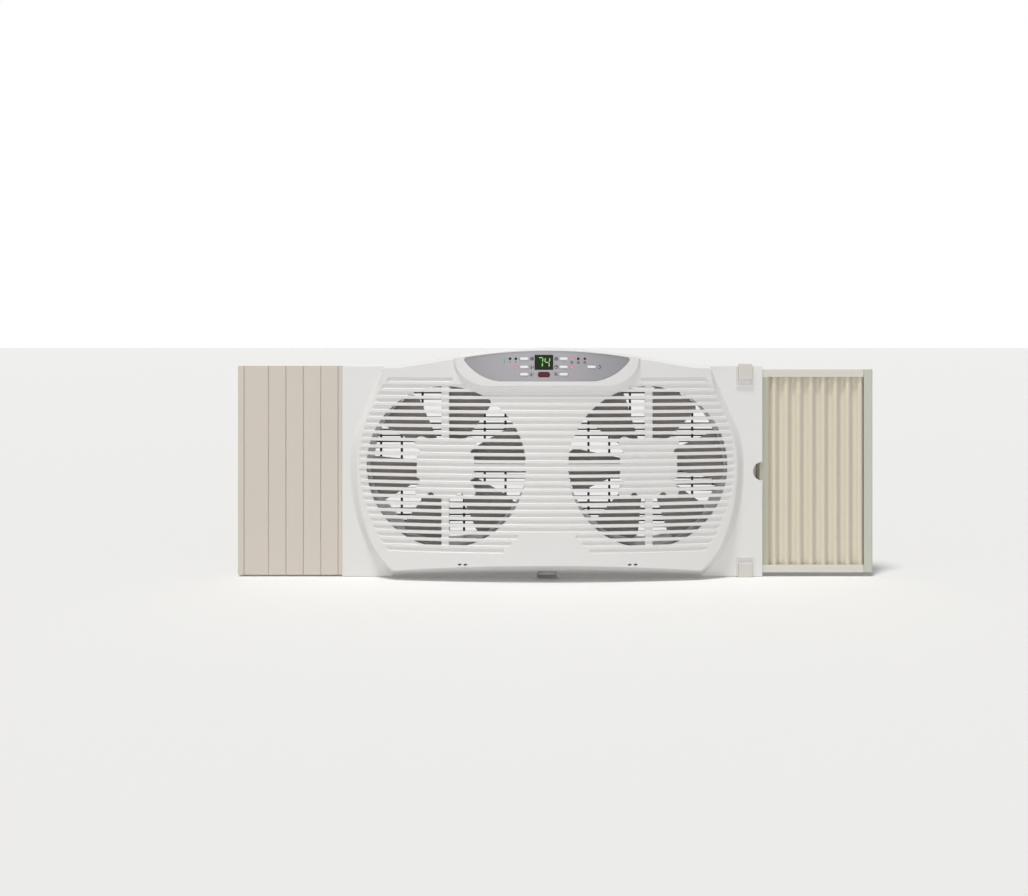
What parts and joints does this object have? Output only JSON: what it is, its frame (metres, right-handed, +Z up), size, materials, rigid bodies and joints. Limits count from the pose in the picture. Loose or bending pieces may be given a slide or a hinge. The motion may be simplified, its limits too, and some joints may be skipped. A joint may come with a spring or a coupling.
{
  "type": "twin window fan",
  "caption": "Window fan with a bowed louvred front over round side-by-side openings, a top control panel, a slatted side filler and a sliding pleated extender.",
  "frame": {"origin": "on the mirror plane of the two fans, on the resting surface, in the middle of the mounting plate's thickness", "axes": "+X to the right seen from the room, +Y outdoors through the window, +Z up"},
  "size_m": [0.9331, 0.1196, 0.3368],
  "materials": {
    "cover_white": "satin moulded",
    "panel_silver": "satin silver",
    "display_black": "gloss",
    "receiver_red": "gloss",
    "board_green": "solder mask",
    "lamination": "varnished",
    "charcoal": "fine texture",
    "black_rubber": "matte",
    "beige": "matte",
    "pleat_beige": "matte",
    "clip_grey": "satin",
    "key_white": "satin",
    "zinc_steel": "zinc plated",
    "copper": "enamelled wire",
    "blade_grey": "satin",
    "screw_steel": "zinc plated"
  },
  "bodies": {
    "housing": {"front_cover": "cover_white", "control_lens": "panel_silver", "display_window": "display_black", "receiver_window": "receiver_red", "control_board": "board_green", "power_board": "board_green", "transformer": "lamination", "rear_cover": "cover_white", "air_duct_left": "charcoal", "air_duct_right": "charcoal", "cord_gland": "black_rubber", "curtain_inner_stile": "beige", "pleated_curtain": "pleat_beige", "motor_front_bracket_left": "zinc_steel", "motor_rear_bracket_left": "zinc_steel", "motor_stator_left": "lamination", "motor_winding_left": "copper", "front_bearing_left": "zinc_steel", "rear_bearing_left": "zinc_steel", "motor_front_bracket_right": "zinc_steel", "motor_rear_bracket_right": "zinc_steel", "motor_stator_right": "lamination", "motor_winding_right": "copper", "front_bearing_right": "zinc_steel", "rear_bearing_right": "zinc_steel", "motor_screw_1": "screw_steel", "motor_screw_2": "screw_steel", "motor_screw_3": "screw_steel", "motor_screw_4": "screw_steel", "motor_screw_5": "screw_steel", "motor_screw_6": "screw_steel", "motor_screw_7": "screw_steel", "motor_screw_8": "screw_steel", "cover_screw_1": "screw_steel", "cover_screw_2": "screw_steel", "cover_screw_3": "screw_steel", "cover_screw_4": "screw_steel", "cover_screw_5": "screw_steel", "cover_screw_6": "screw_steel"},
    "fan_left": {"rotor_left": "zinc_steel", "propeller_left": "blade_grey", "propeller_nut_left": "zinc_steel"},
    "fan_right": {"rotor_right": "zinc_steel", "propeller_right": "blade_grey", "propeller_nut_right": "zinc_steel"},
    "key_left_upper_body": {"key_left_upper": "key_white"},
    "key_left_middle_body": {"key_left_middle": "key_white"},
    "key_left_lower_body": {"key_left_lower": "key_white"},
    "key_right_upper_body": {"key_right_upper": "key_white"},
    "key_right_middle_body": {"key_right_middle": "key_white"},
    "key_right_lower_body": {"key_right_lower": "key_white"},
    "key_power_body": {"key_power": "key_white"},
    "clip_top": {"lock_clip_top": "clip_grey"},
    "clip_bottom": {"lock_clip_bottom": "clip_grey"},
    "extender": {"extender_end_stile": "beige", "extender_top_rail": "beige", "extender_bottom_rail": "beige"},
    "side_filler": {"filler_panel": "beige"}
  },
  "joints": [
    {"name": "fan_left_spin", "type": "hinge", "parent": "housing", "child": "fan_left", "pos_m": [-0.146, 0, 0.165], "axis": [0, 1, 0], "continuous": true},
    {"name": "fan_right_spin", "type": "hinge", "parent": "housing", "child": "fan_right", "pos_m": [0.146, 0, 0.165], "axis": [0, 1, 0], "continuous": true},
    {"name": "key_left_upper_press", "type": "slide", "parent": "housing", "child": "key_left_upper_body", "axis": [0, 1, 0], "range_m": [0, 0.0006], "stiffness_N_per_m": 300, "springref_m": -0.0008},
    {"name": "key_left_middle_press", "type": "slide", "parent": "housing", "child": "key_left_middle_body", "axis": [0, 1, 0], "range_m": [0, 0.0006], "stiffness_N_per_m": 300, "springref_m": -0.0008},
    {"name": "key_left_lower_press", "type": "slide", "parent": "housing", "child": "key_left_lower_body", "axis": [0, 1, 0], "range_m": [0, 0.0006], "stiffness_N_per_m": 300, "springref_m": -0.0008},
    {"name": "key_right_upper_press", "type": "slide", "parent": "housing", "child": "key_right_upper_body", "axis": [0, 1, 0], "range_m": [0, 0.0006], "stiffness_N_per_m": 300, "springref_m": -0.0008},
    {"name": "key_right_middle_press", "type": "slide", "parent": "housing", "child": "key_right_middle_body", "axis": [0, 1, 0], "range_m": [0, 0.0006], "stiffness_N_per_m": 300, "springref_m": -0.0008},
    {"name": "key_right_lower_press", "type": "slide", "parent": "housing", "child": "key_right_lower_body", "axis": [0, 1, 0], "range_m": [0, 0.0006], "stiffness_N_per_m": 300, "springref_m": -0.0008},
    {"name": "key_power_press", "type": "slide", "parent": "housing", "child": "key_power_body", "axis": [0, 1, 0], "range_m": [0, 0.0006], "stiffness_N_per_m": 300, "springref_m": -0.0008},
    {"name": "clip_top_slide", "type": "slide", "parent": "housing", "child": "clip_top", "axis": [0, 0, 1], "range_m": [-0.004, 0]},
    {"name": "clip_bottom_slide", "type": "slide", "parent": "housing", "child": "clip_bottom", "axis": [0, 0, 1], "range_m": [0, 0.004]},
    {"name": "extender_slide", "type": "slide", "parent": "housing", "child": "extender", "axis": [1, 0, 0], "range_m": [-0.12, 0], "deforming": ["pleated_curtain"]},
    {"name": "side_filler_slide", "type": "slide", "parent": "housing", "child": "side_filler", "axis": [-1, 0, 0], "range_m": [0, 0.012]}
  ]
}
